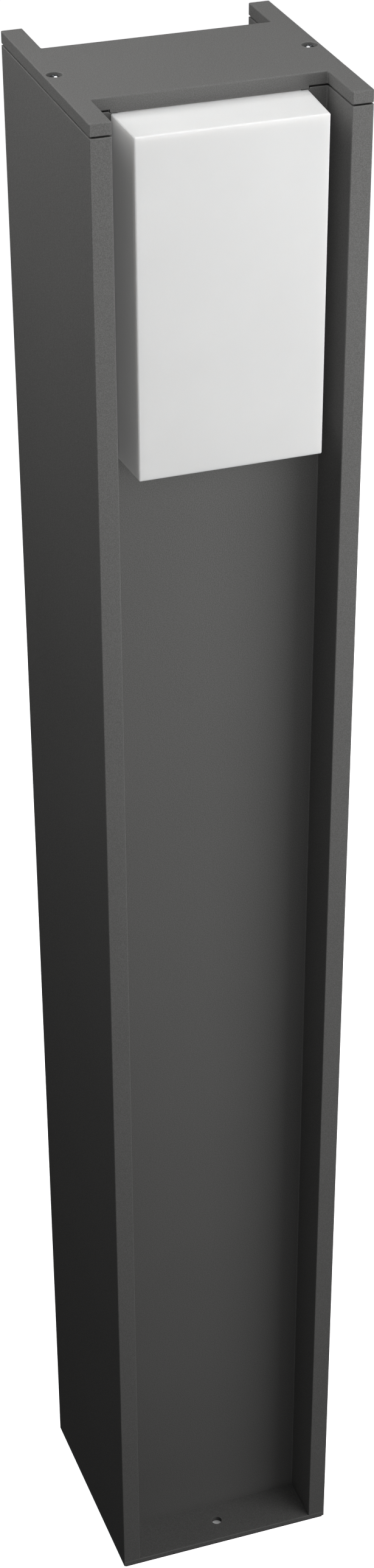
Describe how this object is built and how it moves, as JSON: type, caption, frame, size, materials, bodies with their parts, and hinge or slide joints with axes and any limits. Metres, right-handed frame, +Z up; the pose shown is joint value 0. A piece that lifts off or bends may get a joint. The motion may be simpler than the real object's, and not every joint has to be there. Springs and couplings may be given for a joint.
{
  "type": "bollard light",
  "caption": "H-section aluminium garden bollard light with an opal light box in its front recess, a screwed cap that lifts out with the gear tray, and a base plate.",
  "frame": {"origin": "centre of the square footprint, on the ground at the underside of the base gasket", "axes": "+Z up the post, -Y out of the front recess that holds the light box, +X across the front"},
  "size_m": [0.115, 0.115, 0.77],
  "materials": {
    "coating": "fine-textured anthracite powder coat",
    "opal": "opal acrylic, satin",
    "stainless": "bright stainless steel",
    "zinc": "bright zinc plate",
    "aluminium": "mill finish sheet",
    "rubber": "matt black EPDM",
    "grey_plastic": "moulded dark grey nylon",
    "white_plastic": "moulded white polycarbonate",
    "board": "white solder mask on an aluminium core",
    "laminate": "green circuit board laminate",
    "phosphor": "yellow phosphor under a clear dome",
    "pad": "soft thermal pad",
    "brown": "brown insulation",
    "blue": "blue insulation",
    "green": "green and yellow insulation",
    "red": "red insulation",
    "black": "black insulation and moulding",
    "brass": "plain brass"
  },
  "bodies": {
    "post": {"post_body": "coating", "base_plate": "coating", "base_gasket": "rubber", "base_screw_1": "stainless", "base_screw_2": "stainless", "base_screw_3": "stainless", "base_screw_4": "stainless", "gland_body": "grey_plastic", "gland_seal": "rubber", "gland_nut": "grey_plastic", "diffuser": "opal", "diffuser_gasket": "rubber"},
    "cap_and_gear": {"top_cap": "coating", "cap_gasket": "rubber", "light_box_seal": "rubber", "cap_screw_left": "stainless", "cap_screw_right": "stainless", "gear_tray": "aluminium", "tray_screw_left": "zinc", "tray_screw_right": "zinc", "wire_grommet": "rubber", "thermal_pad": "pad", "led_board": "board", "led_1": "phosphor", "led_2": "phosphor", "led_3": "phosphor", "led_4": "phosphor", "led_5": "phosphor", "led_6": "phosphor", "led_7": "phosphor", "led_8": "phosphor", "reflector": "white_plastic", "board_screw_1": "zinc", "board_screw_2": "zinc", "board_screw_3": "zinc", "board_screw_4": "zinc", "driver_housing": "white_plastic", "driver_lid": "white_plastic", "driver_board": "laminate", "driver_transformer": "black", "driver_capacitor": "blue", "driver_screw_1": "zinc", "driver_screw_2": "zinc", "terminal_block": "white_plastic", "terminal_screw_1": "brass", "terminal_screw_2": "brass", "terminal_screw_3": "brass", "terminal_fixing_1": "zinc", "terminal_fixing_2": "zinc", "earth_lug": "brass", "earth_screw": "stainless", "live_wire": "brown", "neutral_wire": "blue", "earth_wire": "green", "led_lead_positive": "red", "led_lead_negative": "black"}
  },
  "joints": [
    {"name": "cap_lift", "type": "slide", "parent": "post", "child": "cap_and_gear", "axis": [0, 0, 1], "range_m": [0, 0.185]}
  ]
}
